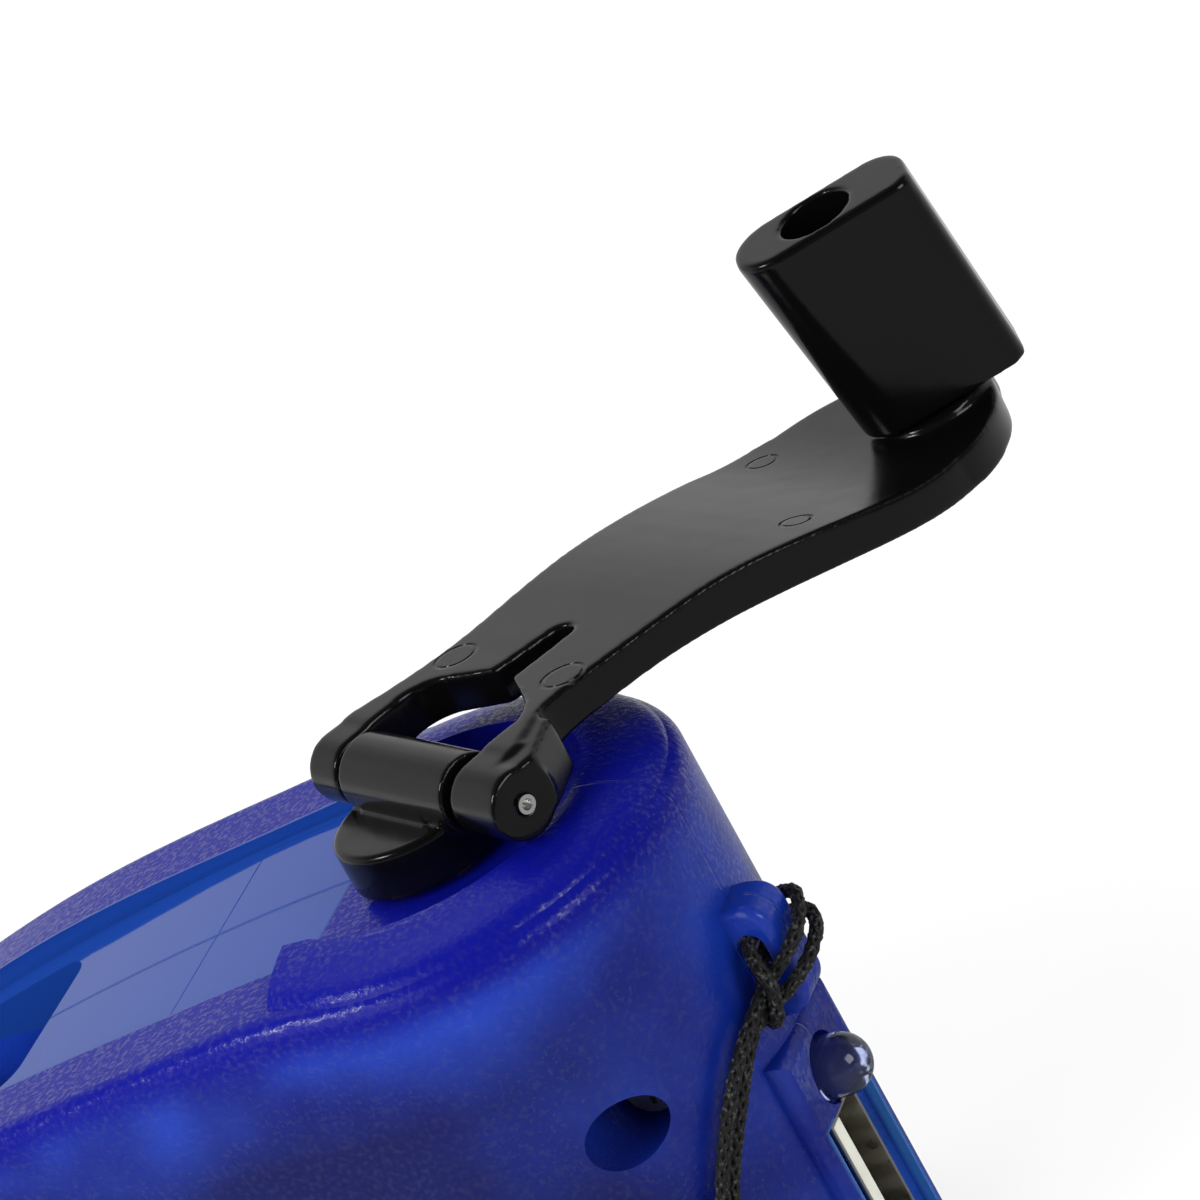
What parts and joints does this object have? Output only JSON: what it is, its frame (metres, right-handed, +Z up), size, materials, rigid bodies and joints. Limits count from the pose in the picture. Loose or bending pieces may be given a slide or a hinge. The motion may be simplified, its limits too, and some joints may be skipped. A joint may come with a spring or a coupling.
{
  "type": "hand crank phone charger",
  "caption": "Hand cranked charger: a folding crank with a knob turns a geared generator in a two-shell case with a USB socket, a lamp and a wrist cord.",
  "frame": {"origin": "point of the flat base straight below the crank hub's axis", "axes": "+Z up along the hub's axis, +X towards the end with the lamp and the USB socket, -Y towards the near shell"},
  "size_m": [0.1099, 0.0979, 0.0698],
  "materials": {
    "blue_plastic": "glossy translucent, fine grain on the collar",
    "black_plastic": "satin",
    "steel": "plain",
    "ivory_plastic": "matt",
    "gear_plastic": "matt",
    "brass": "plain",
    "copper": "enamelled",
    "ferrite": "matt",
    "board_green": "satin",
    "clear_lens": "clear",
    "black_part": "matt",
    "red_wire": "satin",
    "black_wire": "satin",
    "black_cord": "braided"
  },
  "bodies": {
    "case": {"case_near": "blue_plastic", "case_far": "blue_plastic", "case_screws": "steel", "hub_bush": "brass", "gear_pin_1": "steel", "gear_pin_2": "steel", "pin_clip": "steel", "gear_plate": "steel", "gear_bridge": "steel", "gear_pillars": "steel", "pillar_screws": "steel", "generator_can": "steel", "generator_end_cap": "black_part", "generator_bushes": "brass", "generator_magnets": "ferrite", "generator_brushes": "copper", "generator_terminals": "brass", "generator_screws": "steel", "circuit_board": "board_green", "rectifier_diodes": "black_part", "capacitor": "black_part", "voltage_regulator": "black_part", "inductor": "ferrite", "usb_shell": "steel", "usb_tongue": "ivory_plastic", "usb_contacts": "brass", "led_lamp": "clear_lens", "led_leads": "steel", "wire_positive": "red_wire", "wire_negative": "black_wire", "lanyard_hitch": "black_cord", "lanyard_cord": "black_cord", "lanyard_coil": "black_cord"},
    "hub": {"crank_hub": "black_plastic", "drive_gear": "gear_plastic", "hub_screw": "steel"},
    "arm": {"crank_arm": "black_plastic", "hinge_pin": "steel", "knob_spindle": "steel", "knob_screw": "steel"},
    "knob": {"knob": "black_plastic"},
    "gear_1": {"compound_gear_1": "gear_plastic"},
    "gear_2": {"compound_gear_2": "gear_plastic"},
    "rotor": {"generator_shaft": "steel", "rotor_core": "steel", "rotor_windings": "copper", "commutator": "copper", "generator_pinion": "brass"}
  },
  "joints": [
    {"name": "hub_spin", "type": "hinge", "parent": "case", "child": "hub", "pos_m": [0, 0, 0.048], "axis": [0, 0, 1], "continuous": true},
    {"name": "crank_fold", "type": "hinge", "parent": "hub", "child": "arm", "pos_m": [0.00086, 0.00135, 0.0533], "axis": [0.8425, -0.5388, 0], "range_deg": [0, 175]},
    {"name": "knob_spin", "type": "hinge", "parent": "arm", "child": "knob", "pos_m": [0.03087, 0.04827, 0.0508], "axis": [-0.0527, -0.0825, 0.9952], "continuous": true},
    {"name": "gear_1_spin", "type": "hinge", "parent": "case", "child": "gear_1", "pos_m": [-0.021, 0, 0.037], "axis": [0, 0, 1], "continuous": true},
    {"name": "gear_2_spin", "type": "hinge", "parent": "case", "child": "gear_2", "pos_m": [-0.00997, -0.00926, 0.033], "axis": [0, 0, 1], "continuous": true},
    {"name": "rotor_spin", "type": "hinge", "parent": "case", "child": "rotor", "pos_m": [-0.01492, 0, 0.02], "axis": [0, 0, 1], "continuous": true}
  ],
  "couplings": [
    {"joint": "gear_1_spin", "follows": "hub_spin", "ratio": -4},
    {"joint": "gear_2_spin", "follows": "hub_spin", "ratio": 12},
    {"joint": "rotor_spin", "follows": "hub_spin", "ratio": -30}
  ]
}
